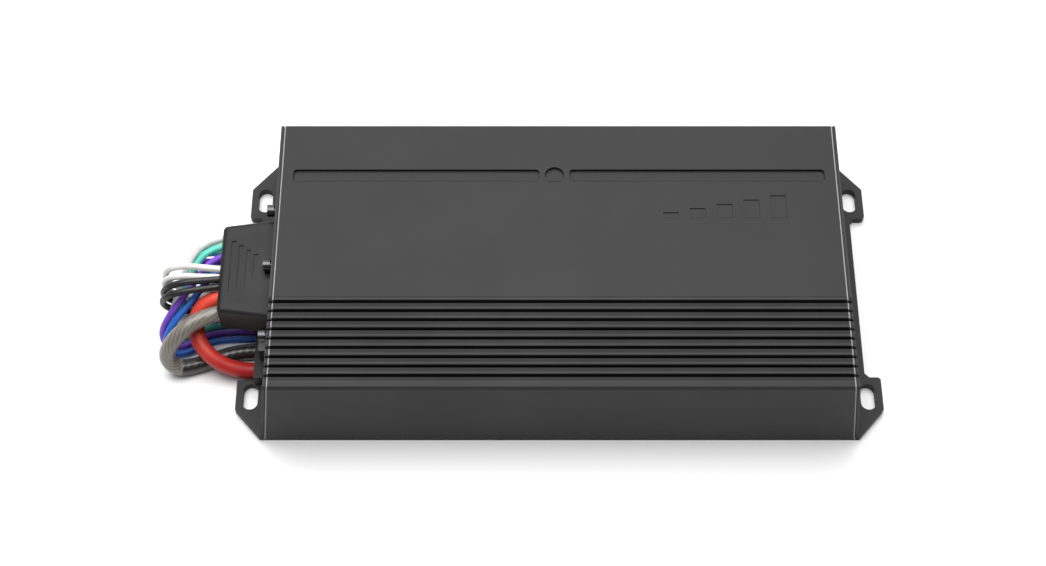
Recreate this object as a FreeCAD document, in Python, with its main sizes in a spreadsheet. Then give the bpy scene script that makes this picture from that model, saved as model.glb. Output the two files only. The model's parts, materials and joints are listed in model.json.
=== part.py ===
import FreeCAD, Part
import math
import os
import re
from FreeCAD import Rotation, Vector

# Frame: X to the right along the extrusion, Y to the back, Z up, millimetres, origin at the base centre.

SIZES = {
    "body_height": 45.0,
    "top_half_length": 124.5,  # cut end of the extrusion at the top
    "end_lean": 5.7,  # how far both ends lean out over the height
    "top_half_depth": 66.6,
    "base_half_depth": 70.2,
    "roof": 3.5,
    "wall": 2.1,
    "fin_block": 8,  # roof thickness under the ribs
    "fin_first": -25.0,  # Y of the first groove
    "fin_pitch": 4.44,
    "fin_count": 9,
    "fin_gap": 1.5,
    "fin_deep": 6.0,
    "gasket_thick": 0.3,
    "plate_thick": 1.3,
    "foot_high": 4.2,
    "strip_reach": 136.6,
    "tab_reach": 143.6,
    "tab_inner": 41.4,
    "tab_outer": 57.1,
    "slot_at_length": 137.2,
    "slot_at_depth": 51.0,
    "slot_wide": 6.8,
    "slot_long": 12.5,
    "arch_front": -43.0,
    "arch_back": 22.0,
    "arch_high": 8.8,
    "floor_plate_low": 9.3,
    "floor_plate_thick": 1.5,
    "board_low": 17.0,
    "board_thick": 1.6,
    "board_half_depth": 60.0,
    "cover_low": 19.0,
    "cover_high": 36.0,
    "cover_reach": 150.2,
    "cover_wall": 2.0,
    "screw_head_radius": 2.75,
    "screw_head_high": 3.0,
    "screw_radius": 1.5,
    "thin_lead": 3.0,
    "thick_lead": 7.2,
    "tip_long": 6.0,
    "knob_radius": 3.5,
    "knob_height": 27.0,
    "switch_height": 27.0,
    "socket_front": 125.6,
    "plug_tip": 117.0,
}

# The leads' routes from the cable cover to their bare ends under the case, as corners.
LEAD_TAIL = ((-116, 1.0), (-90, -1.0), (-62, 0.8), (-36, -0.4), (-14, 0.6))
LEAD_ROUTES = {
    "lead_grey_a": [(-149.4, -2, 32.3), (-157, -1.6, 33.2), (-166.4, -0.8, 33.6), (-174.6, -0.2, 29.8),
                    (-177.6, 1.2, 19), (-174.8, 2.8, 8), (-166.8, 4.4, 2.3), (-157.4, 5.4, 1.6),
                    (-148, 5.6, 1.6), (-136, 5.6, 1.6)],
    "lead_grey_b": [(-149.4, -4.4, 29.8), (-157, -5.2, 31), (-166.4, -4.9, 31.9), (-174.8, -4.2, 28.4),
                    (-177.8, -2.6, 18), (-174.8, -1, 7.4), (-166.8, 0.6, 2.2), (-157.4, 1.6, 1.6),
                    (-148, 1.8, 1.6), (-136, 1.8, 1.6)],
    "lead_black_a": [(-149.4, -6.8, 32.3), (-157, -8, 33.2), (-166.4, -9.2, 33.6), (-174.6, -9.6, 29.6),
                     (-177.8, -7.6, 18.8), (-174.8, -4.9, 7.8), (-166.8, -3, 2.3), (-157.4, -2.2, 1.6),
                     (-148, -2, 1.6), (-136, -2, 1.6)],
    "lead_black_b": [(-149.4, -9.3, 30.2), (-157, -11, 31.2), (-166.4, -12.9, 31.9),
                     (-174.8, -13.4, 28.2), (-177.9, -11.6, 17.8), (-174.8, -8.8, 7.2),
                     (-166.8, -6.8, 2.2), (-157.4, -6, 1.6), (-148, -5.8, 1.6), (-136, -5.8, 1.6)],
    "lead_white_a": [(-149.4, 14.6, 31.3), (-156.4, 13.4, 30.9), (-162.6, 9, 29.2), (-166.8, 2, 26.2),
                     (-169.6, -5.6, 22), (-172.4, -12.4, 16.6), (-175.4, -17.4, 11.4),
                     (-175.8, -19.4, 5.6), (-171.2, -17.2, 2), (-164.6, -13.2, 1.6), (-157, -10.8, 1.6),
                     (-148, -9.6, 1.6), (-136, -9.6, 1.6)],
    "lead_teal_a": [(-149.4, 10.6, 31.3), (-156.2, 9.2, 30.4), (-161.6, 4.2, 28.4), (-165.2, -3.2, 24.9),
                    (-168, -10.6, 21), (-171.2, -17, 16.8), (-173.4, -21.6, 11), (-172.6, -22.6, 5.2),
                    (-167.6, -19.8, 2), (-161.6, -16, 1.6), (-155.6, -14.2, 1.6), (-147, -13.4, 1.6),
                    (-136, -13.4, 1.6)],
    "lead_purple_a": [(-149.4, 6.2, 30.3), (-155.6, 4.6, 28.6), (-160.4, -1.6, 26.4),
                      (-164.6, -8.2, 25.9), (-169.8, -14.4, 22.8), (-175.2, -19.6, 17.4),
                      (-178.2, -22.8, 10.8), (-176.8, -25.6, 4.6), (-171.2, -25.2, 1.9),
                      (-164.2, -21.8, 1.6), (-156, -18, 1.6), (-146, -17.2, 1.6), (-135, -17.2, 1.6)],
    "lead_blue": [(-149.4, 1.4, 26.5), (-155.1, -0.8, 25.4), (-159.4, -6.6, 24), (-164, -13.2, 22.4),
                  (-169.2, -18.6, 20), (-174, -23.6, 15.8), (-176.4, -27.2, 10.2), (-175.2, -29.6, 4.6),
                  (-169.8, -28.8, 1.9), (-162.8, -25.4, 1.6), (-155, -21.6, 1.6), (-146, -21, 1.6),
                  (-135, -21, 1.6)],
    "lead_purple_b": [(-149.4, 6.2, 24.4), (-155.6, 6.6, 24.8), (-163.4, 7.2, 22.2), (-166.8, 8, 13.8),
                      (-163.6, 8.8, 5.4), (-155.8, 9.2, 1.9), (-146.4, 9.4, 1.6), (-136, 9.4, 1.6)],
    "lead_teal_b": [(-149.4, 10.6, 24.8), (-155.2, 10.8, 25.1), (-162.4, 11.2, 22.4), (-165.6, 11.8, 14),
                    (-162.6, 12.6, 5.6), (-155, 13, 2), (-146, 13.2, 1.6), (-135, 13.2, 1.6)],
    "lead_white_b": [(-149.4, 14.8, 25.2), (-154.8, 15, 25.4), (-161.4, 15.4, 22.4), (-164.4, 15.8, 14.2),
                     (-161.6, 16.4, 5.8), (-154.2, 16.8, 2), (-145.6, 17, 1.6), (-134, 17, 1.6)],
    "lead_red": [(-149.4, -12.9, 26), (-156.6, -13.4, 24.8), (-161.8, -19.2, 19.4), (-161, -28.2, 15),
                 (-155.2, -35.2, 11.8), (-146, -38.6, 7), (-134, -38.4, 3.9)],
    "lead_ground": [(-149.4, -20.5, 26.4), (-158.3, -23.4, 27), (-166.8, -29.4, 25),
                    (-172.6, -33.2, 18.8), (-175, -35.4, 10.6), (-170.6, -37.3, 4.4), (-161.6, -35, 3.7),
                    (-152, -31.2, 3.7), (-143, -28.6, 3.7), (-134, -28, 3.7)],
}
THICK_LEADS = ("lead_red", "lead_ground")

doc = FreeCAD.newDocument("amplifier")
sheet = doc.addObject("Spreadsheet::Sheet", "dims")


def fill_sheet():
    for row, (alias, value) in enumerate(SIZES.items(), 1):
        sheet.set(f"A{row}", alias)
        sheet.set(f"B{row}", str(value))
        sheet.setAlias(f"B{row}", alias)
    doc.recompute()


def size(alias):
    return float(getattr(sheet, alias))


def bind(obj, prop, value):
    """Sets a property to a number, or binds it to a sum of the sheet's sizes."""
    if isinstance(value, str):
        obj.setExpression(prop, re.sub(r"[a-z_]{4,}", r"dims.\g<0>", value))
    else:
        path = prop.split(".")
        if len(path) == 1:
            setattr(obj, prop, value)
        else:
            base = obj.Placement.Base
            setattr(base, path[-1], value)
            obj.Placement = FreeCAD.Placement(base, obj.Placement.Rotation)


def at(obj, x, y, z):
    for axis, value in zip("xyz", (x, y, z)):
        bind(obj, f"Placement.Base.{axis}", value)
    return obj


def box(x, y, z, dx, dy, dz):
    made = doc.addObject("Part::Box", "block")
    for prop, value in (("Length", dx), ("Width", dy), ("Height", dz)):
        bind(made, prop, value)
    return at(made, x, y, z)


TURNS = {"Z": (0, 0, 0), "X": (0, 90, 0), "-X": (0, -90, 0), "Y": (0, 0, -90), "-Y": (0, 0, 90)}


def rod(x, y, z, radius, length, axis="Z"):
    made = doc.addObject("Part::Cylinder", "rod")
    bind(made, "Radius", radius)
    bind(made, "Height", length)
    made.Placement = FreeCAD.Placement(Vector(), Rotation(*TURNS[axis]))
    return at(made, x, y, z)


def cone(x, y, z, low_radius, high_radius, length, axis="Z"):
    made = doc.addObject("Part::Cone", "cone")
    for prop, value in (("Radius1", low_radius), ("Radius2", high_radius), ("Height", length)):
        bind(made, prop, value)
    made.Placement = FreeCAD.Placement(Vector(), Rotation(*TURNS[axis]))
    return at(made, x, y, z)


def fuse(*shapes):
    if len(shapes) == 1:
        return shapes[0]
    made = doc.addObject("Part::MultiFuse", "fuse")
    made.Shapes = list(shapes)
    return made


def cut(base, *tools):
    made = doc.addObject("Part::Cut", "cut")
    made.Base = base
    made.Tool = fuse(*tools)
    return made


def common(*shapes):
    made = doc.addObject("Part::MultiCommon", "common")
    made.Shapes = list(shapes)
    return made


def group(*shapes):
    made = doc.addObject("Part::Compound", "group")
    made.Links = list(shapes)
    return made


def plane_of(body, role):
    return next(f for f in body.Origin.OriginFeatures if f.Role == role)


def outline(body, role, points, name="outline"):
    drawn = body.newObject("Sketcher::SketchObject", name)
    drawn.AttachmentSupport = [(plane_of(body, role), "")]
    drawn.MapMode = "FlatFace"
    for start, end in zip(points, points[1:] + points[:1]):
        drawn.addGeometry(Part.LineSegment(Vector(*start, 0), Vector(*end, 0)))
    return drawn


def pad(body, role, points, length, both_ways=False, start=0.0):
    made = body.newObject("PartDesign::Pad", "pad")
    drawn = outline(body, role, points)
    made.Profile = drawn
    bind(made, "Length", length)
    if both_ways:
        made.SideType = "Symmetric"
    drawn.AttachmentOffset = FreeCAD.Placement(Vector(0, 0, start), Rotation())
    body.Tip = made
    return made


def prism(role, points, length, both_ways=False, start=0.0):
    body = doc.addObject("PartDesign::Body", "body")
    pad(body, role, points, length, both_ways, start)
    return body


def lean(z):
    """How far the ends have leaned out at a height."""
    return size("end_lean") * (size("body_height") - z) / size("body_height")


def slab(side, inner, thick):
    """A plate that leans out with the case's ends, its inner face inner mm out at the top."""
    top, low = size("body_height") + 5, -5
    points = [(side * (inner + lean(top)), top), (side * (inner + thick + lean(top)), top),
              (side * (inner + thick + lean(low)), low), (side * (inner + lean(low)), low)]
    return prism("XZ_Plane", points, 200, both_ways=True)


def groove_ys():
    return [size("fin_first") - i * size("fin_pitch") for i in range(int(size("fin_count")))]


def outer_profile(groove_depth, inset=0.0):
    """The case's section seen along X, with the grooves in its top."""
    high, top, base = size("body_height"), size("top_half_depth"), size("base_half_depth")
    half_gap = size("fin_gap") / 2
    points = [(-base + inset, 0.0), (-top + inset - 0.1, high - 1.2), (-top + inset + 0.9, high - inset)]
    for y in reversed(groove_ys()):
        points += [(y - half_gap, high - inset), (y - half_gap, high - groove_depth),
                   (y + half_gap, high - groove_depth), (y + half_gap, high - inset)]
    points += [(top - inset - 0.9, high - inset), (top - inset + 0.1, high - 1.2), (base - inset, 0.0)]
    return points


def plate_profile():
    """The end plates' outline: level beside the flat top, low teeth beside the fins."""
    high, top, base = size("body_height"), size("top_half_depth"), size("base_half_depth")
    points = [(-base, 0.0), (-top - 0.1, high - 1.2), (-top + 0.9, high)]
    for y in reversed(groove_ys()):
        points += [(y - 2.6, high - 0.4), (y - 2.6, high - 2.4), (y + 0.75, high - 2.4), (y + 0.75, high - 0.9)]
    points += [(size("fin_first") + 1.9, high), (top - 0.9, high), (top + 0.1, high - 1.2), (base, 0.0)]
    return points


def heatsink_body():
    high = size("body_height")
    inner, ledge = size("top_half_depth") - size("wall"), 58.5
    low = size("floor_plate_low") + size("floor_plate_thick")
    roof, block = high - size("roof"), high - size("fin_block")
    section = outer_profile(size("fin_deep"))
    section += [(inner + 1.5, 0.0), (inner, low), (ledge, low), (ledge, low + 5)]
    section += [(inner, low + 5.2), (inner, roof)]
    section += [(-19.0, roof), (-21.5, block), (-inner, block), (-inner, low + 5.2), (-ledge, low + 5)]
    section += [(-ledge, low), (-inner, low), (-inner - 1.5, 0.0)]
    extrusion = prism("YZ_Plane", section, 300, both_ways=True)
    case = cut(extrusion, slab(1, size("top_half_length"), 60), slab(-1, size("top_half_length"), 60))
    channels = [rod(-140, y, 39.3, 3.4, 280, "X") for y in (24.2, -3.8)]
    channels.append(rod(-140, -36.0, 34.4, 3.4, 280, "X"))
    channels = common(fuse(*channels), slab_between())
    case = fuse(case, channels)
    bores = [rod(side * 100, y, z, 1.25, 60, "X" if side > 0 else "-X")
             for side in (-1, 1) for y, z in end_screw_places()]
    floor_holes = [rod(x, y, low - 1, 1.25, 5.4) for x in (-100, 0, 100) for y in (-61.5, 61.5)]
    clamp_holes = [rod(x, -63, 27, 1.25, 4, "-Y") for x in CLAMP_XS]
    band = group(recess(-119.2, -8.8), recess(4.8, 119.2), rod(-2, 39.3, "body_height - 1.5", 4.4, 3))
    bars = [box(46 + 12 * i, 17, "body_height - 0.5", 7, 3 + 2.2 * i, 2) for i in range(5)]
    return cut(case, *bores, *floor_holes, *clamp_holes, band, *bars)


def recess(start, end):
    """A long shallow recess with rounded corners in the top."""
    low, corner = "body_height - 1.5", 1.7
    return fuse(box(start + corner, 36.1, low, end - start - 2 * corner, 6.4, 3),
                box(start, 36.1 + corner, low, end - start, 6.4 - 2 * corner, 3),
                *[rod(x, y, low, corner, 3) for x in (start + corner, end - corner)
                  for y in (36.1 + corner, 42.5 - corner)])


CLAMP_XS = (-84, -42, 0, 42, 84)


def slab_between():
    """Everything between the extrusion's two leaning ends."""
    top, high = size("top_half_length"), size("body_height")
    low = top + size("end_lean")
    return prism("XZ_Plane", [(-low, 0.0), (low, 0.0), (top, high), (-top, high)], 160, both_ways=True)


def end_screw_places():
    return ((24.2, 39.3), (-3.8, 39.3), (-36.0, 34.0))


def end_gasket(side):
    ring = cut(prism("YZ_Plane", outer_profile(size("fin_deep"), 0.6), 300, both_ways=True),
               box(-200, "-(top_half_depth - 3.4)", -1, 400, "2 * (top_half_depth - 3.4)", 35),
               box(-200, -19.5, 30, 400, "top_half_depth + 16", 10),
               box(-200, -90, -2, 400, 180, 13))
    ring = cut(ring, *[rod(-200, y, z, 1.8, 400, "X") for y, z in end_screw_places()])
    ring = cut(ring, box(-140, -26.4, 19, 40, 45.6, 16.8))
    return common(ring, slab(side, size("top_half_length"), size("gasket_thick")))


def foot_outline(side):
    reach, strip, base = size("tab_reach"), size("strip_reach"), size("base_half_depth")
    inner, outer = size("tab_inner"), size("tab_outer")
    root = size("top_half_length") + size("gasket_thick") + lean(0) + 0.6
    edge = root + 1.1
    half = [(root, -base), (edge, -base), (reach, -outer), (reach, -inner - 1.0), (reach - 1.0, -inner),
            (strip + 2.0, -inner), (strip, -inner + 2.0)]
    points = half + [(x, -y) for x, y in reversed(half)]
    return [(side * x, y) for x, y in points]


def slot(side, end):
    """One mounting slot, its long way along Y."""
    straight = "slot_long - slot_wide"
    x, y = f"{side} * slot_at_length", f"{end} * slot_at_depth"
    return fuse(box(f"{x} - slot_wide / 2", f"{y} - (slot_long - slot_wide) / 2", -1, "slot_wide", straight, 8),
                rod(x, f"{y} - (slot_long - slot_wide) / 2", -1, "slot_wide / 2", 8),
                rod(x, f"{y} + (slot_long - slot_wide) / 2", -1, "slot_wide / 2", 8))


def end_plate_blank(side):
    plate = common(prism("YZ_Plane", plate_profile(), 300, both_ways=True),
                   slab(side, size("top_half_length") + size("gasket_thick"), size("plate_thick")))
    foot = prism("XY_Plane", foot_outline(side), "foot_high")
    holes = [rod(side * 110, y, z, "screw_radius + 0.1", 40, "X" if side > 0 else "-X")
             for y, z in end_screw_places()]
    return plate, foot, holes


def end_plate_left():
    plate, foot, holes = end_plate_blank(-1)
    tunnel = box(-150, "arch_front", -1, 24, "arch_back - arch_front", "arch_high + 1")
    front_cheek = box(-135.6, "arch_front - 2", 0, 4.2, 2, "arch_high + 2")
    back_cheek = box(-135.6, "arch_back", 0, 4.2, 2, "arch_high + 2")
    ledge = box(-135.6, "arch_front - 2", "arch_high", 4.2, "arch_back - arch_front + 4", 2.2)
    opening = box(-140, -24.6, 20.4, 20, 42, 15)
    port = box(-140, -35.6, 13.4, 20, 7.2, 7.2)
    slots = [slot(-1, end) for end in (-1, 1)]
    solid = fuse(cut(fuse(plate, foot), tunnel), front_cheek, back_cheek, ledge)
    return cut(solid, opening, port, *holes, *slots)


def end_plate_right():
    plate, foot, holes = end_plate_blank(1)
    sinks = [cone(plate_face(z) + 0.4, y, z, 3.0, 1.6, 1.4, "-X") for y, z in end_screw_places()]
    knob_holes = [rod(110, y, "knob_height", "knob_radius + 0.3", 40, "X") for y in KNOB_YS]
    windows = [box(110, y - 4.5, "switch_height - 1.8", 40, 9, 3.6) for y in SWITCH_YS]
    lamps = [rod(110, y, "knob_height", 1.5, 40, "X") for y in LAMP_YS]
    slots = [slot(1, end) for end in (-1, 1)]
    return cut(fuse(plate, foot), *holes, *sinks, *knob_holes, *windows, *lamps, *slots)


KNOB_YS = (38.0, 22.0, 6.0)
SWITCH_YS = (-8.0, -20.0)
LAMP_YS = (-44.0, -50.0)


def plate_face(z, out=0.0):
    """How far out an end plate's outer face is at a height."""
    return size("top_half_length") + size("gasket_thick") + size("plate_thick") + lean(z) + out


def end_screws_left():
    screws = []
    for y, z in end_screw_places():
        face = plate_face(z - 2.75, 0.05)
        head = cut(rod(-face, y, z, "screw_head_radius", "screw_head_high", "-X"),
                   rod(-face - 1.4, y, z, 1.25, 3, "-X"))
        shank = rod(-face - 0.4, y, z, 1.22, 11, "X")
        neck = rod(-face - 0.4, y, z, "screw_radius - 0.05", 3.2, "X")
        screws.append(fuse(head, shank, neck))
    return group(*screws)


def end_screws_right():
    screws = []
    for y, z in end_screw_places():
        face = plate_face(z) - 0.35
        head = cone(face, y, z, 2.85, 1.45, 1.35, "-X")
        screws.append(cut(fuse(head, rod(face - 1.2, y, z, 1.22, 11, "-X")), rod(face - 0.8, y, z, 0.9, 3, "X")))
    return group(*screws)


def bottom_plate():
    low = size("floor_plate_low")
    half = size("top_half_length") + lean(low + 1.5) - 0.6
    sheet_plate = prism("XY_Plane", [(-half, -64.3), (half, -64.3), (half, 64.3), (-half, 64.3)],
                        "floor_plate_thick", start=low)
    holes = [rod(x, y, low - 1, 1.6, 4) for x in (-100, 0, 100) for y in (-61.5, 61.5)]
    sinks = [cone(x, y, low - 0.4, 3.3, 1.6, 1.7) for x in (-100, 0, 100) for y in (-61.5, 61.5)]
    posts = [rod(x, y, low - 1, 1.25, 4) for x, y in STANDOFFS]
    return cut(sheet_plate, *holes, *sinks, *posts)


STANDOFFS = [(x, y) for x in (-96, 0, 96) for y in (-50, 50)]


def bottom_screws():
    low = size("floor_plate_low")
    return group(*[fuse(cone(x, y, low + 0.05, 2.7, 1.4, 1.3), rod(x, y, low + 1.2, 1.22, 4.6))
                   for x in (-100, 0, 100) for y in (-61.5, 61.5)])


def board_standoffs():
    low = size("floor_plate_low") + size("floor_plate_thick")
    top = size("board_low")
    return group(*[cut(fuse(rod(x, y, low, 3.0, top - low), rod(x, y, low - 1.4, 1.25, 2)),
                       rod(x, y, top - 4.4, 1.25, 6)) for x, y in STANDOFFS])


def board_screws():
    top = size("board_low") + size("board_thick")
    return group(*[fuse(rod(x, y, top, 2.75, 2.0), rod(x, y, top - 5, 1.22, 5.5)) for x, y in STANDOFFS])


def circuit_board():
    half = size("board_half_depth")
    plate = prism("XY_Plane", [(-123.5, -half), (122, -half), (122, half), (-123.5, half)], "board_thick",
                  start=size("board_low"))
    holes = [rod(x, y, 15, 1.65, 6) for x, y in STANDOFFS]
    return cut(plate, *holes)


def transistor_xs():
    return [x + offset for x in CLAMP_XS for offset in (-12, 12)]


def transistors():
    made = []
    for x in transistor_xs():
        legs = [box(x - 3.2 + 2.54 * i, -60.0, "board_low - 0.6", 0.8, 0.6, 5) for i in range(3)]
        made.append(fuse(box(x - 5, -63.9, 20.6, 10, 4.4, 13), *legs))
    return group(*made)


def board_for_legs(board):
    slots = [box(x - 4, -60.4, 15, 8, 1.4, 6) for x in transistor_xs()]
    return cut(board, *slots)


def thermal_pad():
    strip = box(-102, -64.4, 20.4, 204, 0.5, 13.4)
    return cut(strip, *[rod(x, -60, 27, 1.7, 8, "-Y") for x in CLAMP_XS])


def clamp_bar():
    return cut(box(-100, -59.5, 25, 200, 2.0, 4), *[rod(x, -50, 27, 1.7, 20, "-Y") for x in CLAMP_XS])


def clamp_screws():
    return group(*[fuse(rod(x, -57.45, 27, 2.75, 2.4, "Y"), rod(x, -57.0, 27, 1.22, 9.4, "-Y"))
                   for x in CLAMP_XS])


def transformer_core():
    z = "board_low + board_thick + 2"
    return cut(rod(-30, 12, z, 16, 14), rod(-30, 12, z, 9, 14))


def transformer_winding():
    z = size("board_low") + size("board_thick")
    shell = cut(rod(-30, 12, z, 18.5, 17), rod(-30, 12, z, 6.5, 17))
    return cut(shell, cut(rod(-30, 12, z + 2, 16, 14), rod(-30, 12, z + 2, 9, 14)))


def bulk_capacitors():
    top = size("board_low") + size("board_thick")
    return group(*[fuse(rod(-78, y, top, 6.3, 0.8), rod(-78, y, top + 0.8, 6.5, 15.8))
                   for y in (-2, 14, 30, 46)])


def output_inductors():
    top = "board_low + board_thick"
    made = []
    for x in (14, 36, 58, 80):
        bobbin = fuse(rod(x, 42, top, 8, 1.5), rod(x, 42, "board_low + board_thick + 1.5", 6.4, 9),
                      rod(x, 42, "board_low + board_thick + 10.5", 8, 1.5))
        made.append(bobbin)
    return group(*made)


def filter_capacitors():
    top = "board_low + board_thick"
    return group(*[box(x, 20, top, 13, 6, 11) for x in (0, 24, 48, 72)])


def control_chips():
    top = "board_low + board_thick"
    return group(*[box(x, y, top, 10, 8, 1.6) for x, y in ((20, -10), (48, -10), (76, -10), (20, -30))])


def harness_socket():
    front = -size("socket_front")
    top = size("board_low") + size("board_thick")
    shell = box(front, -26.2, top, 18, 45.2, 17)
    cavity = box(front - 1, -23.2, 21.4, 10.6, 39.2, 13.2)
    return cut(shell, cavity, *pin_holes(front + 5, 20))


def small_pins():
    return [(y, z) for y in (-8.5, -4.5, -0.5, 3.5, 7.5, 11.5) for z in (25.0, 31.0)][:11]


def big_pins():
    return [(-18.8, 28.0), (-13.4, 28.0)]


def pin_holes(x, length):
    return ([rod(x, y, z, 0.8, length, "X") for y, z in small_pins()]
            + [rod(x, y, z, 1.6, length, "X") for y, z in big_pins()])


def socket_pins():
    start = -size("plug_tip") - 6.5
    return group(*[rod(start, y, z, 0.8, 16, "X") for y, z in small_pins()],
                 *[rod(start, y, z, 1.6, 16, "X") for y, z in big_pins()])


def socket_seal():
    """A rubber ring between the socket and the end plate's inner face."""
    ring = cut(box(-140, -26.2, 19.2, 40, 45.2, 16.4), box(-141, -24.6, 20.4, 42, 42, 14.5))
    inner = size("top_half_length") + size("gasket_thick")
    gap = prism("XZ_Plane", [(-size("socket_front"), 45.0), (-inner - lean(45.0), 45.0),
                             (-inner - lean(0.0), 0.0), (-size("socket_front"), 0.0)], 200, both_ways=True)
    return common(ring, gap)


def harness_plug():
    nose = fuse(box("-(plug_tip + 22)", -22.8, 21.8, 22, 38.4, 12.0),
                box("-(plug_tip + 22)", -23.2, 21.0, 8, 41.0, 13.0))
    holes = ([rod(-150, y, z, 1.2, 50, "X") for y, z in small_pins()]
             + [rod(-150, y, z, 2.1, 50, "X") for y, z in big_pins()])
    return cut(nose, *holes)


def plug_contacts():
    start = "-(plug_tip + 21)"
    sleeves = []
    for places, outer, inner in ((small_pins(), 1.2, 0.86), (big_pins(), 2.1, 1.66)):
        for y, z in places:
            sleeves.append(cut(rod(start, y, z, outer, 20, "X"), rod("-(plug_tip + 12)", y, z, inner, 14, "X")))
    return group(*sleeves)


def cover_plan():
    """The cable cover seen from above."""
    reach = -size("cover_reach")
    return [(-126.0, 22.2), (reach, 18.8), (reach, -24.8), (-126.0, -28.0)]


def plug_cover():
    low, high, wall = size("cover_low"), size("cover_high"), size("cover_wall")
    body = doc.addObject("PartDesign::Body", "body")
    block = pad(body, "XY_Plane", cover_plan(), "cover_high - cover_low", start=low)
    doc.recompute()
    rounded = body.newObject("PartDesign::Fillet", "fillet")
    rounded.Base = (block, cover_edges(block.Shape))
    rounded.Radius = 2.4
    body.Tip = rounded
    room = box("5.2 - cover_reach", -23.2, low + wall, 40, 41.0, high - low - 2 * wall)
    mouth = box("-(cover_reach + 1)", -24.1, low + wall + 0.2, 8, 40.8, high - low - 2 * wall - 0.4)
    shell = cut(body, room, mouth, near_side(-1, 0.3))
    bars = [box(-145.6 + 3.4 * i, -15.5 + 2.2 * i, high - 0.5, 2.0, 26 - 4.4 * i, 2) for i in range(4)]
    return cut(shell, *bars)


def cover_edges(shape):
    """The edges round the cover's outer end and along its sides."""
    reach, found = -size("cover_reach"), []
    for number, edge in enumerate(shape.Edges, 1):
        ends = [v.Point for v in edge.Vertexes]
        if all(abs(p.x - reach) < 0.01 for p in ends) or abs(ends[0].x - ends[1].x) > 5:
            found.append(f"Edge{number}")
    return found


def cover_grommet():
    low = size("cover_low") + size("cover_wall") + 0.2
    return box("0.8 - cover_reach", -24.1, low, 4.4, 40.8, size("cover_high") - size("cover_wall") - 0.2 - low)


def cover_screws():
    low = size("cover_low")
    return group(*[fuse(rod(-136, y, low - 1.4, 2.2, 1.4), rod(-136, y, low - 0.2, 1.1, 2.1)) for y in (-23.6, 16.4)])


def port_bezel():
    face = plate_face(17.0)
    outer = box(-face - 3.0, -37.0, 12.2, 5.6, 8.7, 9.6)
    outer = cut(outer, box(-face - 10, -35.0, 14.0, 20, 6.0, 6.0), near_side(-1))
    return fuse(outer, cut(box(-face - 1, -35.5, 13.5, 6.8, 7.0, 7.0), box(-face - 10, -35.0, 14.0, 30, 6.0, 6.0)))


def near_side(side, gap=0.0):
    """All that lies further in than an end plate's outer face, and a gap."""
    out = plate_face(0) - lean(0) + gap
    top, low = 60.0, -10.0
    return prism("XZ_Plane", [(side * (out + lean(top)), top), (0.0, top), (0.0, low),
                              (side * (out + lean(low)), low)], 200, both_ways=True)


def port_contacts():
    return group(*[box(-129, -34.4 + 1.4 * i, 14.0, 4, 0.6, 0.5) for i in range(4)])


def pot_bodies():
    top = "board_low + board_thick"
    made = []
    for y in KNOB_YS:
        shell = box(113, y - 5, top, 8.5, 10, 13.4)
        made.append(cut(shell, rod(112, y, "knob_height", 1.55, 12, "X")))
    return group(*made)


def control_knob(y):
    """A level control flush with the end plate, with a driver slot in its face."""
    face = plate_face(size("knob_height")) - 1.2
    turned = fuse(rod(face, y, "knob_height", "knob_radius", 3.4, "-X"), rod(face - 3, y, "knob_height", 1.5, 9, "-X"))
    return cut(turned, box(face - 1.0, y - 0.4, size("knob_height") - 2.8, 3, 0.8, 5.6))


def switch_bodies():
    top = size("board_low") + size("board_thick")
    made = []
    for y in SWITCH_YS:
        shell = box(114, y - 5.5, top, 8, 11, 12.2)
        made.append(cut(shell, box(116, y - 4.5, size("switch_height") - 1.6, 8, 9, 3.2)))
    return group(*made)


def switch_slider(y):
    z = size("switch_height")
    reach = plate_face(z) - 0.6
    return fuse(box(116.1, y - 4.4, z - 1.5, 5.4, 4.8, 3.0), box(120, y - 3.5, z - 1.2, reach - 120, 3.0, 2.4))


def status_lamps():
    face = plate_face(size("knob_height"))
    made = []
    for y in LAMP_YS:
        lens = fuse(rod(face - 0.4, y, "knob_height", 1.45, 8, "-X"), rod(face - 4, y, "knob_height", 2.2, 3.6, "-X"))
        made.append(lens)
    return group(*made)


def lamp_carrier():
    top = size("board_low") + size("board_thick")
    holder = box(112, LAMP_YS[1] - 3.5, top, 8, LAMP_YS[0] - LAMP_YS[1] + 7, 11.6)
    return cut(holder, *[rod(111, y, "knob_height", 2.3, 12, "X") for y in LAMP_YS])


def lead_points(name):
    points = LEAD_ROUTES[name]
    lane = points[-1][1]
    height = 3.7 if name in THICK_LEADS else 1.6
    return [Vector(*p) for p in points] + [Vector(x, lane + shift, height) for x, shift in LEAD_TAIL]


def route(points):
    """Straight runs joined by tangent arcs."""
    edges, here = [], points[0]
    radii = []
    for before, corner, after in zip(points, points[1:], points[2:]):
        back, ahead = corner - before, after - corner
        step = 0.45 * min(back.Length, ahead.Length)
        back.normalize()
        ahead.normalize()
        turn = back.getAngle(ahead)
        radii.append(step / math.tan(turn / 2))
        start, end = corner - back * step, corner + ahead * step
        toward = (ahead - back)
        toward.normalize()
        middle = corner + toward * (radii[-1] / math.cos(turn / 2) - radii[-1])
        edges.append(Part.LineSegment(here, start).toShape())
        edges.append(Part.Arc(start, middle, end).toShape())
        here = end
    edges.append(Part.LineSegment(here, points[-1]).toShape())
    return Part.Wire(edges), min(radii)


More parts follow.
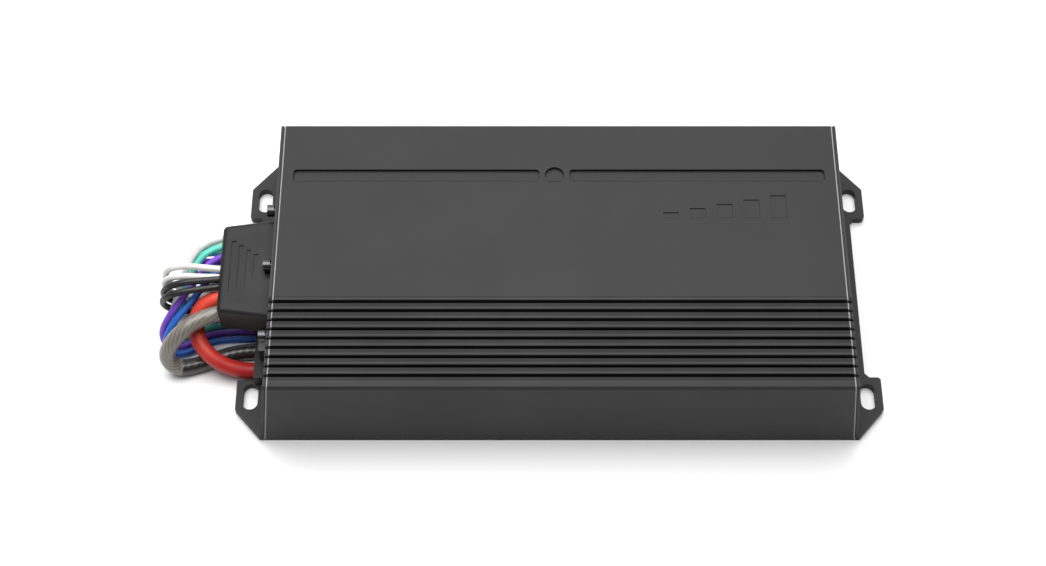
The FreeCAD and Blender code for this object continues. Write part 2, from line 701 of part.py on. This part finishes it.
def lead(name):
    bore = size("thick_lead") if name in THICK_LEADS else size("thin_lead")
    points = lead_points(name)
    wire, tightest = route(points)
    ring = Part.Wire(Part.makeCircle(bore / 2, points[0], points[1] - points[0]))
    tube = wire.makePipeShell([ring], True, False)
    print(name, f"{wire.Length:.1f} mm long, tightest bend {tightest:.1f} mm")
    print("  volume", f"{tube.Volume:.0f}", "section x length", f"{math.pi * bore * bore / 4 * wire.Length:.0f}")
    made = doc.addObject("Part::Feature", "tube")
    made.Shape = tube
    return made


def lead_tips():
    tips = []
    for name in LEAD_ROUTES:
        points = lead_points(name)
        bore = size("thick_lead") if name in THICK_LEADS else size("thin_lead")
        out = points[-1] - points[-2]
        out.normalize()
        tips.append(Part.makeCylinder(0.3 * bore, size("tip_long"), points[-1], out))
    made = doc.addObject("Part::Feature", "tips")
    made.Shape = Part.makeCompound(tips)
    return made


def build():
    fill_sheet()
    parts = {
        "heatsink_body": heatsink_body(),
        "end_gasket_left": end_gasket(-1),
        "end_gasket_right": end_gasket(1),
        "end_plate_left": end_plate_left(),
        "end_plate_right": end_plate_right(),
        "end_screws_left": end_screws_left(),
        "end_screws_right": end_screws_right(),
        "bottom_plate": bottom_plate(),
        "bottom_screws": bottom_screws(),
        "board_standoffs": board_standoffs(),
        "board_screws": board_screws(),
        "circuit_board": board_for_legs(circuit_board()),
        "transistors": transistors(),
        "thermal_pad": thermal_pad(),
        "clamp_bar": clamp_bar(),
        "clamp_screws": clamp_screws(),
        "transformer_core": transformer_core(),
        "transformer_winding": transformer_winding(),
        "bulk_capacitors": bulk_capacitors(),
        "output_inductors": output_inductors(),
        "filter_capacitors": filter_capacitors(),
        "control_chips": control_chips(),
        "harness_socket": harness_socket(),
        "socket_pins": socket_pins(),
        "socket_seal": socket_seal(),
        "harness_plug": harness_plug(),
        "plug_contacts": plug_contacts(),
        "plug_cover": plug_cover(),
        "cover_grommet": cover_grommet(),
        "cover_screws": cover_screws(),
        "port_bezel": port_bezel(),
        "port_contacts": port_contacts(),
        "pot_bodies": pot_bodies(),
        "gain_knob": control_knob(KNOB_YS[0]),
        "crossover_knob": control_knob(KNOB_YS[1]),
        "bass_knob": control_knob(KNOB_YS[2]),
        "switch_bodies": switch_bodies(),
        "filter_slider": switch_slider(SWITCH_YS[0]),
        "input_slider": switch_slider(SWITCH_YS[1]),
        "status_lamps": status_lamps(),
        "lamp_carrier": lamp_carrier(),
        "lead_tips": lead_tips(),
    }
    for name in LEAD_ROUTES:
        parts[name] = lead(name)
    return parts


def write(parts):
    os.makedirs("parts", exist_ok=True)
    for name, part in parts.items():
        part.Label = name
    doc.recompute()
    for obj in doc.Objects:
        bad = [s for s in obj.State if s in ("Invalid", "Error")]
        assert not bad, f"{obj.Name} {obj.Label}: {bad}"
    for name, part in parts.items():
        shape = part.Shape
        assert not shape.isNull() and shape.isValid(), name
        assert shape.Volume > 0, name
        shape.exportStep(f"parts/{name}.step")
        b = shape.BoundBox
        print(f"{name}: {len(shape.Solids)} solids, volume {shape.Volume:.0f}, x {b.XMin:.1f}..{b.XMax:.1f}, "
              f"y {b.YMin:.1f}..{b.YMax:.1f}, z {b.ZMin:.1f}..{b.ZMax:.1f}")


write(build())
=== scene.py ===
import json
import math

import bpy
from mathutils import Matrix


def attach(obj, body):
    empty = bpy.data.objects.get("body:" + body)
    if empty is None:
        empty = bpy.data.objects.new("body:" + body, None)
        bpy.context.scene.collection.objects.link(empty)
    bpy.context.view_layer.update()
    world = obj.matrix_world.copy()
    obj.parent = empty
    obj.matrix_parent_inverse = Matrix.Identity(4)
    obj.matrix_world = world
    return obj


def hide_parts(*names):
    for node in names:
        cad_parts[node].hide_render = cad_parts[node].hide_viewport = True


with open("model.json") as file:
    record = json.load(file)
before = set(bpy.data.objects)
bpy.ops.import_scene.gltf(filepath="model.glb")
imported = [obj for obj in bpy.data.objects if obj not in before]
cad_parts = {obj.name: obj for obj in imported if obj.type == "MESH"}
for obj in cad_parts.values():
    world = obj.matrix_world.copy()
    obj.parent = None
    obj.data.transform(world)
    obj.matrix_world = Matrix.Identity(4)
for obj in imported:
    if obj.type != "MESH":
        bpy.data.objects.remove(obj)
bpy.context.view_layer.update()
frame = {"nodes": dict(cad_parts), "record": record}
nodes = frame["nodes"]

THIN = 0.003  # diameter of a signal lead
THICK = 0.0072  # diameter of a power lead
THIN_LIES_AT = 0.0016  # height of a lead's centre line under the case
THICK_LIES_AT = 0.0037

# The leads' routes, from the mouth of the cable cover to their bare ends under the case, in metres.
TAIL = ((-0.116, 0.0010), (-0.090, -0.0010), (-0.062, 0.0008), (-0.036, -0.0004), (-0.014, 0.0006))
ROUTES = {
    "lead_grey_a": [(-0.1494, -0.0020, 0.0323), (-0.1570, -0.0016, 0.0332), (-0.1664, -0.0008, 0.0336),
                    (-0.1746, -0.0002, 0.0298), (-0.1776, 0.0012, 0.0190), (-0.1748, 0.0028, 0.0080),
                    (-0.1668, 0.0044, 0.0023), (-0.1574, 0.0054, 0.0016), (-0.1480, 0.0056, 0.0016),
                    (-0.1360, 0.0056, 0.0016)],
    "lead_grey_b": [(-0.1494, -0.0044, 0.0298), (-0.1570, -0.0052, 0.0310), (-0.1664, -0.0049, 0.0319),
                    (-0.1748, -0.0042, 0.0284), (-0.1778, -0.0026, 0.0180), (-0.1748, -0.0010, 0.0074),
                    (-0.1668, 0.0006, 0.0022), (-0.1574, 0.0016, 0.0016), (-0.1480, 0.0018, 0.0016),
                    (-0.1360, 0.0018, 0.0016)],
    "lead_black_a": [(-0.1494, -0.0068, 0.0323), (-0.1570, -0.0080, 0.0332), (-0.1664, -0.0092, 0.0336),
                     (-0.1746, -0.0096, 0.0296), (-0.1778, -0.0076, 0.0188), (-0.1748, -0.0049, 0.0078),
                     (-0.1668, -0.0030, 0.0023), (-0.1574, -0.0022, 0.0016), (-0.1480, -0.0020, 0.0016),
                     (-0.1360, -0.0020, 0.0016)],
    "lead_black_b": [(-0.1494, -0.0093, 0.0302), (-0.1570, -0.0110, 0.0312), (-0.1664, -0.0129, 0.0319),
                     (-0.1748, -0.0134, 0.0282), (-0.1779, -0.0116, 0.0178), (-0.1748, -0.0088, 0.0072),
                     (-0.1668, -0.0068, 0.0022), (-0.1574, -0.0060, 0.0016), (-0.1480, -0.0058, 0.0016),
                     (-0.1360, -0.0058, 0.0016)],
    "lead_white_a": [(-0.1494, 0.0146, 0.0313), (-0.1564, 0.0134, 0.0309), (-0.1626, 0.0090, 0.0292),
                     (-0.1668, 0.0020, 0.0262), (-0.1696, -0.0056, 0.0220), (-0.1724, -0.0124, 0.0166),
                     (-0.1754, -0.0174, 0.0114), (-0.1758, -0.0194, 0.0056), (-0.1712, -0.0172, 0.0020),
                     (-0.1646, -0.0132, 0.0016), (-0.1570, -0.0108, 0.0016), (-0.1480, -0.0096, 0.0016),
                     (-0.1360, -0.0096, 0.0016)],
    "lead_teal_a": [(-0.1494, 0.0106, 0.0313), (-0.1562, 0.0092, 0.0304), (-0.1616, 0.0042, 0.0284),
                    (-0.1652, -0.0032, 0.0249), (-0.1680, -0.0106, 0.0210), (-0.1712, -0.0170, 0.0168),
                    (-0.1734, -0.0216, 0.0110), (-0.1726, -0.0226, 0.0052), (-0.1676, -0.0198, 0.0020),
                    (-0.1616, -0.0160, 0.0016), (-0.1556, -0.0142, 0.0016), (-0.1470, -0.0134, 0.0016),
                    (-0.1360, -0.0134, 0.0016)],
    "lead_purple_a": [(-0.1494, 0.0062, 0.0303), (-0.1556, 0.0046, 0.0286), (-0.1604, -0.0016, 0.0264),
                      (-0.1646, -0.0082, 0.0259), (-0.1698, -0.0144, 0.0228), (-0.1752, -0.0196, 0.0174),
                      (-0.1782, -0.0228, 0.0108), (-0.1768, -0.0256, 0.0046), (-0.1712, -0.0252, 0.0019),
                      (-0.1642, -0.0218, 0.0016), (-0.1560, -0.0180, 0.0016), (-0.1460, -0.0172, 0.0016),
                      (-0.1350, -0.0172, 0.0016)],
    "lead_blue": [(-0.1494, 0.0014, 0.0265), (-0.1551, -0.0008, 0.0254), (-0.1594, -0.0066, 0.0240),
                  (-0.1640, -0.0132, 0.0224), (-0.1692, -0.0186, 0.0200), (-0.1740, -0.0236, 0.0158),
                  (-0.1764, -0.0272, 0.0102), (-0.1752, -0.0296, 0.0046), (-0.1698, -0.0288, 0.0019),
                  (-0.1628, -0.0254, 0.0016), (-0.1550, -0.0216, 0.0016), (-0.1460, -0.0210, 0.0016),
                  (-0.1350, -0.0210, 0.0016)],
    "lead_purple_b": [(-0.1494, 0.0062, 0.0244), (-0.1556, 0.0066, 0.0248), (-0.1634, 0.0072, 0.0222),
                      (-0.1668, 0.0080, 0.0138), (-0.1636, 0.0088, 0.0054), (-0.1558, 0.0092, 0.0019),
                      (-0.1464, 0.0094, 0.0016), (-0.1360, 0.0094, 0.0016)],
    "lead_teal_b": [(-0.1494, 0.0106, 0.0248), (-0.1552, 0.0108, 0.0251), (-0.1624, 0.0112, 0.0224),
                    (-0.1656, 0.0118, 0.0140), (-0.1626, 0.0126, 0.0056), (-0.1550, 0.0130, 0.0020),
                    (-0.1460, 0.0132, 0.0016), (-0.1350, 0.0132, 0.0016)],
    "lead_white_b": [(-0.1494, 0.0148, 0.0252), (-0.1548, 0.0150, 0.0254), (-0.1614, 0.0154, 0.0224),
                     (-0.1644, 0.0158, 0.0142), (-0.1616, 0.0164, 0.0058), (-0.1542, 0.0168, 0.0020),
                     (-0.1456, 0.0170, 0.0016), (-0.1340, 0.0170, 0.0016)],
    "lead_red": [(-0.1494, -0.0129, 0.0260), (-0.1566, -0.0134, 0.0248), (-0.1618, -0.0192, 0.0194),
                 (-0.1610, -0.0282, 0.0150), (-0.1552, -0.0352, 0.0118), (-0.1460, -0.0386, 0.0070),
                 (-0.1340, -0.0384, 0.0039)],
    "lead_ground": [(-0.1494, -0.0205, 0.0264), (-0.1583, -0.0234, 0.0270), (-0.1668, -0.0294, 0.0250),
                    (-0.1726, -0.0332, 0.0188), (-0.1750, -0.0354, 0.0106), (-0.1706, -0.0373, 0.0044),
                    (-0.1616, -0.0350, 0.0037), (-0.1520, -0.0312, 0.0037), (-0.1430, -0.0286, 0.0037),
                    (-0.1340, -0.0280, 0.0037)],
}
THICK_LEADS = ("lead_red", "lead_ground")


# ---- materials -------------------------------------------------------------------------------------------

def new_material(name, color, roughness, metallic=0.0, specular=0.5):
    """A Principled material, its node tree and its shader."""
    made = bpy.data.materials.new(name)
    made.use_nodes = True
    tree = made.node_tree
    shader = tree.nodes["Principled BSDF"]
    shader.inputs["Base Color"].default_value = (*color, 1)
    shader.inputs["Roughness"].default_value = roughness
    shader.inputs["Metallic"].default_value = metallic
    shader.inputs["Specular IOR Level"].default_value = specular
    return made, tree, shader


def own_axes(tree, kind="Object"):
    """The piece's own X, Y and Z, or its U and V, as separate values."""
    place = tree.nodes.new("ShaderNodeTexCoord")
    axes = tree.nodes.new("ShaderNodeSeparateXYZ")
    tree.links.new(place.outputs[kind], axes.inputs["Vector"])
    return tuple(axes.outputs[axis] for axis in "XYZ")


def noise(tree, scale, detail=4.0, roughness=0.6, stretch=(1, 1, 1)):
    """Noise on the piece's own place, scale in features per metre."""
    place = tree.nodes.new("ShaderNodeTexCoord")
    mapping = tree.nodes.new("ShaderNodeMapping")
    mapping.inputs["Scale"].default_value = stretch
    pattern = tree.nodes.new("ShaderNodeTexNoise")
    pattern.inputs["Scale"].default_value = scale
    pattern.inputs["Detail"].default_value = detail
    pattern.inputs["Roughness"].default_value = roughness
    tree.links.new(place.outputs["Object"], mapping.inputs["Vector"])
    tree.links.new(mapping.outputs["Vector"], pattern.inputs["Vector"])
    return pattern.outputs["Fac"]


def blend_colors(tree, fac, low, high, low_at=0.35, high_at=0.65):
    ramp = tree.nodes.new("ShaderNodeValToRGB")
    ramp.color_ramp.elements[0].position = low_at
    ramp.color_ramp.elements[0].color = (*low, 1)
    ramp.color_ramp.elements[1].position = high_at
    ramp.color_ramp.elements[1].color = (*high, 1)
    tree.links.new(fac, ramp.inputs["Fac"])
    return ramp.outputs["Color"]


def spread(tree, fac, low, high):
    """The pattern's values, moved to lie between low and high."""
    ranged = tree.nodes.new("ShaderNodeMapRange")
    ranged.inputs["From Min"].default_value = 0.3
    ranged.inputs["From Max"].default_value = 0.7
    ranged.inputs["To Min"].default_value = low
    ranged.inputs["To Max"].default_value = high
    tree.links.new(fac, ranged.inputs["Value"])
    return ranged.outputs["Result"]


def bump(tree, shader, height, distance):
    made = tree.nodes.new("ShaderNodeBump")
    made.inputs["Distance"].default_value = distance
    made.inputs["Strength"].default_value = 1.0
    tree.links.new(height, made.inputs["Height"])
    tree.links.new(made.outputs["Normal"], shader.inputs["Normal"])


def shade(color, factor):
    """The color, made darker or lighter."""
    return tuple(c * factor for c in color)


def math_node(tree, kind, first, second=0, third=0.5):
    """One calculation on numbers or sockets; third counts only where the kind takes three."""
    made = tree.nodes.new("ShaderNodeMath")
    made.operation = kind
    for place, value in zip(made.inputs, (first, second, third)):
        if isinstance(value, (int, float)):
            place.default_value = value
        else:
            tree.links.new(value, place)
    return made.outputs[0]


def beyond_end(tree, reach, lowest):
    """1 outside the leaning end plane that meets the floor at this reach and above lowest, else 0."""
    x, _, z = own_axes(tree)
    along = math_node(tree, "ABSOLUTE", x)
    leaning = math_node(tree, "MULTIPLY", z, END_LEAN)
    # noise that makes the painted highlight's boundary uneven
    highlight_wobble = math_node(tree, "MULTIPLY", noise(tree, 700, 3), 0.00025)
    total = math_node(tree, "ADD", math_node(tree, "ADD", along, leaning), highlight_wobble)
    above_feet = math_node(tree, "GREATER_THAN", z, lowest)
    return math_node(tree, "MULTIPLY", math_node(tree, "GREATER_THAN", total, reach), above_feet)


def within(tree, value, low, high):
    """1 where the value lies between low and high, 0 elsewhere."""
    return math_node(tree, "MULTIPLY", math_node(tree, "GREATER_THAN", value, low),
                     math_node(tree, "LESS_THAN", value, high))


def painted_recess_shade(tree):
    """Mask of painted shade: 1 on the side walls of the shallow recesses in the top, and along the front
    edge of their floors.
    """
    x, y, z = own_axes(tree)
    flat_part = math_node(tree, "MULTIPLY", within(tree, x, -0.122, 0.122), within(tree, y, 0.002, 0.054))
    walls = math_node(tree, "MULTIPLY", flat_part, within(tree, z, TOP - 0.00045, TOP - 0.00005))
    fronts = math_node(tree, "MAXIMUM", within(tree, y, *BAND_FRONT), within(tree, y, *BARS_FRONT))
    floors = math_node(tree, "MULTIPLY", within(tree, x, -BAND_REACH, BAND_REACH),
                       within(tree, z, TOP - 0.0018, TOP - 0.0003))
    return math_node(tree, "MAXIMUM", walls, math_node(tree, "MULTIPLY", fronts, floors))


def painted_rib_light_and_shade(tree, color):
    """A mask over the ribs' tops, and their color: painted shade in the grooves and over each rib's rear
    part, and a painted highlight along each rib's front edge.
    """
    _, y, z = own_axes(tree)
    ribs = math_node(tree, "MULTIPLY", within(tree, y, *RIB_PAINTED_LIGHT_REACH),
                     math_node(tree, "GREATER_THAN", z, TOP - 0.0002))
    count = math_node(tree, "DIVIDE", math_node(tree, "SUBTRACT", y, FIRST_GROOVE), RIB_PITCH)
    ramp = tree.nodes.new("ShaderNodeValToRGB")
    tree.links.new(math_node(tree, "FRACT", count), ramp.inputs["Fac"])
    for position, factor in RIB_PAINTED_LIGHT_AND_SHADE:
        stop = ramp.color_ramp.elements.new(position)
        stop.color = (*shade(color, factor), 1)
    for end in (0, -1):
        ramp.color_ramp.elements[end].color = (*shade(color, 0.2), 1)
    return ribs, ramp.outputs["Color"]


def overlay(tree, mask, under, color):
    """The color, given as numbers or as a socket, laid over the one under it where the mask is 1."""
    mixed = tree.nodes.new("ShaderNodeMix")
    mixed.data_type = "RGBA"
    tree.links.new(mask, mixed.inputs["Factor"])
    tree.links.new(under, mixed.inputs["A"])
    if isinstance(color, tuple):
        mixed.inputs["B"].default_value = (*color, 1)
    else:
        tree.links.new(color, mixed.inputs["B"])
    return mixed.outputs["Result"]


# The last three arguments place the painted highlight along the ends' edges and give its shade.
def powder_coat(name, color, highlight_from, highlight_above, bare):
    """Fine matt powder coat: a tight orange peel, faint mottling, painted shade in the top's recesses,
    painted light and shade on the ribs, and a painted highlight along the ends' edges.
    """
    made, tree, shader = new_material(name, color, 0.55, specular=0.22)
    cloud = noise(tree, 26, 5)
    grain = noise(tree, 1500, 2)
    coat = blend_colors(tree, cloud, shade(color, 0.93), shade(color, 1.07))
    edge = beyond_end(tree, highlight_from, highlight_above)
    # painted shade in the recesses: 0.3 of the coat's colour
    coat = overlay(tree, painted_recess_shade(tree), coat, shade(color, 0.3))
    # painted light and shade over the ribs' tops
    ribs, rib_painted_light = painted_rib_light_and_shade(tree, color)
    coat = overlay(tree, ribs, coat, rib_painted_light)
    # painted highlight along the ends' edges
    tree.links.new(overlay(tree, edge, coat, (bare, bare, bare)), shader.inputs["Base Color"])
    tree.links.new(spread(tree, cloud, 0.52, 0.62), shader.inputs["Roughness"])
    bump(tree, shader, grain, 0.00006)
    return made


def mottle(tree, shader, pattern, color, low, high):
    """The shader's color, shaded between low and high by the pattern."""
    tree.links.new(blend_colors(tree, pattern, shade(color, low), shade(color, high)),
                   shader.inputs["Base Color"])


def moulded(name, color, roughness=0.45, specular=0.4, grain_scale=1800, depth=0.00003):
    """Moulded plastic or rubber with a fine eroded texture."""
    made, tree, shader = new_material(name, color, roughness, specular=specular)
    cloud = noise(tree, 60, 4)
    grain = noise(tree, grain_scale, 2)
    mottle(tree, shader, cloud, color, 0.88, 1.1)
    tree.links.new(spread(tree, cloud, roughness - 0.05, roughness + 0.07), shader.inputs["Roughness"])
    bump(tree, shader, grain, depth)
    return made


def metal(name, color, roughness, stretch=(1, 1, 1), depth=0.00002):
    """Bare or plated metal with fine marks."""
    made, tree, shader = new_material(name, color, roughness, metallic=1.0)
    marks = noise(tree, 900, 3, stretch=stretch)
    mottle(tree, shader, marks, color, 0.8, 1.05)
    tree.links.new(spread(tree, marks, roughness - 0.08, roughness + 0.1), shader.inputs["Roughness"])
    bump(tree, shader, marks, depth)
    return made


def sheath(name, color, roughness=0.38):
    """Soft PVC lead insulation, slightly waxy, with faint drawing marks."""
    made, tree, shader = new_material(name, color, roughness, specular=0.45)
    cloud = noise(tree, 150, 3)
    marks = noise(tree, 900, 2, stretch=(0.2, 1, 1))
    mottle(tree, shader, cloud, color, 0.86, 1.08)
    tree.links.new(spread(tree, marks, roughness - 0.06, roughness + 0.1), shader.inputs["Roughness"])
    bump(tree, shader, marks, 0.00004)
    shader.inputs["Subsurface Weight"].default_value = 0.08
    shader.inputs["Subsurface Radius"].default_value = (0.001, 0.001, 0.001)
    return made


STRANDS = 11  # seen round the power lead's jacket


def twisted_sheath(name, color, dark_from):
    """A clear jacket over laid strands, seen as fine slanting lines, near-black on its far part."""
    made, tree, shader = new_material(name, color, 0.3, specular=0.45)
    u, v, _ = own_axes(tree, "UV")
    along = math_node(tree, "MULTIPLY", u, 230)
    around = math_node(tree, "MULTIPLY", v, math.tau * STRANDS)
    wander = math_node(tree, "MULTIPLY", noise(tree, 260, 3), 4)
    lay = math_node(tree, "ADD", math_node(tree, "ADD", along, around), wander)
    strands = math_node(tree, "MULTIPLY_ADD", math_node(tree, "SINE", lay), 0.5, 0.5)
    lines = blend_colors(tree, strands, shade(color, 0.78), shade(color, 1.14), 0.1, 0.9)
    dark_far_part = math_node(tree, "GREATER_THAN", u, dark_from)
    tree.links.new(overlay(tree, dark_far_part, lines, (0.018, 0.015, 0.014)), shader.inputs["Base Color"])
    tree.links.new(spread(tree, strands, 0.3, 0.42), shader.inputs["Roughness"])
    bump(tree, shader, strands, 0.00005)
    shader.inputs["Coat Weight"].default_value = 0.3
    return made


HIGHEST_LEAD = 0.036


def sheath_with_painted_shade(name, low, high, roughness):
    """A sheath with painted shade: its color deepens towards the floor."""
    made = sheath(name, high, roughness)
    tree = made.node_tree
    shader = tree.nodes["Principled BSDF"]
    _, _, z = own_axes(tree)
    height = math_node(tree, "DIVIDE", z, HIGHEST_LEAD)
    uneven = math_node(tree, "ADD", height, math_node(tree, "MULTIPLY", noise(tree, 150, 3), 0.15))
    tree.links.new(blend_colors(tree, uneven, low, high, 0.3, 0.95), shader.inputs["Base Color"])
    return made


def lens(name):
    """Clear moulded plastic."""
    made, tree, shader = new_material(name, (0.85, 0.92, 0.95), 0.08)
    shader.inputs["Transmission Weight"].default_value = 0.8
    grain = noise(tree, 500, 2)
    bump(tree, shader, grain, 0.00002)
    return made


def board_mask(name, color):
    """Solder mask with darker and lighter copper areas showing through."""
    made, tree, shader = new_material(name, color, 0.3)
    place = tree.nodes.new("ShaderNodeTexCoord")
    cells = tree.nodes.new("ShaderNodeTexBrick")
    cells.inputs["Scale"].default_value = 60
    cells.inputs["Color1"].default_value = (*shade(color, 0.8), 1)
    cells.inputs["Color2"].default_value = (*shade(color, 1.3), 1)
    cells.inputs["Mortar"].default_value = (*shade(color, 0.5), 1)
    tree.links.new(place.outputs["Object"], cells.inputs["Vector"])
    tree.links.new(cells.outputs["Color"], shader.inputs["Base Color"])
    bump(tree, shader, cells.outputs["Fac"], 0.00003)
    return made


CASE = (0.0255, 0.0255, 0.0259)
TOP = 0.045  # height of the case
BAND_REACH = 0.1192  # half the length of the recessed band
# Where the painted shade lines along the recess floors' front edges run.
BAND_FRONT = (0.0367, 0.0374)  # Y along the front of the band's floor
BARS_FRONT = (0.0169, 0.0176)  # the same for the five bars
FIRST_GROOVE = -0.025  # Y of the groove nearest to the flat part
RIB_PITCH = 0.00444
RIB_PAINTED_LIGHT_REACH = (-0.0636, -0.0224)
# Painted light and shade on the coat from one groove, at 0, back to the next, at 1.
RIB_PAINTED_LIGHT_AND_SHADE = ((0.22, 0.2), (0.31, 1.3), (0.39, 1.4), (0.48, 0.45), (0.6, 0.3), (0.7, 0.5), (0.82, 0.2))
END_LEAN = 0.0057 / TOP  # how far an end leans out, for each metre down
CASE_END = 0.1245 + 0.0057  # half the case's length at the floor
FINISHES = {
    # The case's painted edge highlight has shade 0.26.
    "case_grey": powder_coat("case_powder_coat", CASE, CASE_END - 0.0004, 0.001, 0.26),
    "case_grey_plastic": moulded("cover_plastic", (0.0125, 0.0125, 0.0127), 0.5, 0.25),
    "black_rubber": moulded("black_rubber", (0.012, 0.012, 0.012), 0.7, 0.3),
    "black_steel": metal("black_oxide_steel", (0.085, 0.085, 0.088), 0.28),
    "bright_steel": metal("zinc_plated_steel", (0.62, 0.63, 0.65), 0.3),
    "brass": metal("contact_brass", (0.78, 0.6, 0.28), 0.25),
    "board_green": board_mask("solder_mask", (0.015, 0.13, 0.05)),
    "black_plastic": moulded("black_moulding", (0.02, 0.02, 0.021), 0.42),
    "pad_grey": moulded("thermal_pad", (0.3, 0.32, 0.35), 0.8, 0.2),
    "ferrite": moulded("ferrite", (0.05, 0.05, 0.052), 0.6, 0.3, 900, 0.00006),
    "copper": metal("enamelled_copper", (0.7, 0.28, 0.12), 0.28, (1, 1, 6), 0.0001),
    "can_sleeve": moulded("capacitor_sleeve", (0.02, 0.025, 0.07), 0.25, 0.5),
    "film_yellow": moulded("film_capacitor", (0.7, 0.45, 0.06), 0.3, 0.5),
    "control_black": moulded("control_plastic", (0.028, 0.028, 0.03), 0.38),
    "clear_lens": lens("lamp_lens"),
    "tinned_copper": metal("tinned_strands", (0.7, 0.68, 0.64), 0.35, (0.2, 3, 3), 0.00015),
    "sheath_grey": sheath("light_grey_sheath", (0.72, 0.71, 0.68)),
    "sheath_black": sheath("black_sheath", (0.016, 0.016, 0.016), 0.42),
    "sheath_white": sheath("white_sheath", (0.62, 0.62, 0.6)),
    "sheath_teal": sheath("teal_sheath", (0.11, 0.64, 0.48)),
    "sheath_purple": sheath("purple_sheath", (0.2, 0.07, 0.58)),
    "sheath_blue": sheath("blue_sheath", (0.02, 0.13, 0.55)),
    # The red lead's painted shade: dark near the floor, lit colour at the top.
    "sheath_red": sheath_with_painted_shade("red_sheath", low=(0.36, 0.008, 0.008), high=(0.78, 0.075, 0.04),
                                roughness=0.45),
    # near-black beyond 0.36 of the lead's length
    "sheath_taupe": twisted_sheath("taupe_sheath", (0.19, 0.17, 0.145), 0.36),
}


def finish_nodes():
    """Every CAD node gets the full material of its slot; the end plates' edges shine further out."""
    slots = {part["node"]: part["material_slot"] for part in frame["record"]["subparts"]}
    # The end plates' painted edge highlight lies 1.2 mm further out, above 12.5 mm, with shade 0.04.
    plate_coat = powder_coat("plate_powder_coat", CASE, CASE_END + 0.0012, 0.0125, 0.04)
    for name, node in nodes.items():
        finish = plate_coat if name.startswith("end_plate") else FINISHES[slots[name]]
        for place in node.material_slots:
            place.material = finish


# ---- leads -----------------------------------------------------------------------------------------------

def lead(name):
    """One lead, as a smooth curve through its route's corners."""
    thick = THICK if name in THICK_LEADS else THIN
    lane = ROUTES[name][-1][1]
    height = THICK_LIES_AT if name in THICK_LEADS else THIN_LIES_AT
    points = ROUTES[name] + [(x, lane + shift, height) for x, shift in TAIL]
    curve = bpy.data.curves.new(name + "_sheath", "CURVE")
    curve.dimensions = "3D"
    curve.bevel_depth = thick / 2
    curve.bevel_resolution = 5
    curve.use_fill_caps = True
    spline = curve.splines.new("NURBS")
    spline.points.add(len(points) - 1)
    for at, point in zip(spline.points, points):
        at.co = (*point, 1)
    spline.order_u = 3
    spline.use_endpoint_u = True
    spline.resolution_u = 10
    spline.use_smooth = True
    piece = bpy.data.objects.new(name + "_sheath", curve)
    bpy.context.scene.collection.objects.link(piece)
    color = name.split("_")[1]
    slot = "sheath_" + {"ground": "taupe"}.get(color, color)
    curve.materials.append(FINISHES[slot])
    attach(piece, "harness")
    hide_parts(name)
    length = route_length(piece)


def route_length(piece):
    """The length of a curve's own line."""
    bare = bpy.data.objects.new("bare_line", piece.data.copy())
    bare.data.bevel_depth = 0
    line = bpy.data.meshes.new_from_object(bare)
    ends = [[line.vertices[i].co for i in edge.vertices] for edge in line.edges]
    total = sum((start - end).length for start, end in ends)
    bpy.data.objects.remove(bare)
    return total


# ---- floor, lights and camera ----------------------------------------------------------------------------

def studio():
    """A white floor, soft white surroundings and two square lights."""
    scene = bpy.context.scene
    bpy.ops.object.select_all(action="DESELECT")
    bpy.ops.mesh.primitive_plane_add(size=12, location=(0, 0, 0))
    floor = bpy.context.object
    floor.name = "studio_floor"
    paint, _, _ = new_material("studio_paint", (0.93, 0.93, 0.93), 0.9, specular=0.1)
    floor.data.materials.append(paint)
    world = scene.world or bpy.data.worlds.new("studio")
    scene.world = world
    world.use_nodes = True
    world.node_tree.nodes["Background"].inputs["Color"].default_value = (1, 1, 1, 1)
    world.node_tree.nodes["Background"].inputs["Strength"].default_value = 0.16
    add_light("overhead", (-0.1, 0.35, 1.6), width=1.7, power=50)
    add_light("behind", (-0.3, 1.5, 0.8), width=1.0, power=5)
    scene.view_settings.view_transform = "Standard"


def add_light(name, place, width, power):
    """A square light that faces the middle of the floor."""
    lamp = bpy.data.lights.new(name, "AREA")
    lamp.size = width
    lamp.energy = power
    made = bpy.data.objects.new(name, lamp)
    made.location = place
    made.rotation_euler = (-made.location).to_track_quat("-Z", "Y").to_euler()
    bpy.context.scene.collection.objects.link(made)


def camera():
    """Straight in front, well above, looking down at the case."""
    data = bpy.data.cameras.new("camera")
    data.sensor_width = 36
    data.lens = 64.35
    data.clip_start = 0.01
    made = bpy.data.objects.new("camera", data)
    made.location = (-0.0161, -0.4094, 0.7550)
    made.rotation_euler = (math.radians(29), 0, 0)
    bpy.context.scene.collection.objects.link(made)
    bpy.context.scene.camera = made


camera()
studio()
finish_nodes()
for name in ROUTES:
    lead(name)
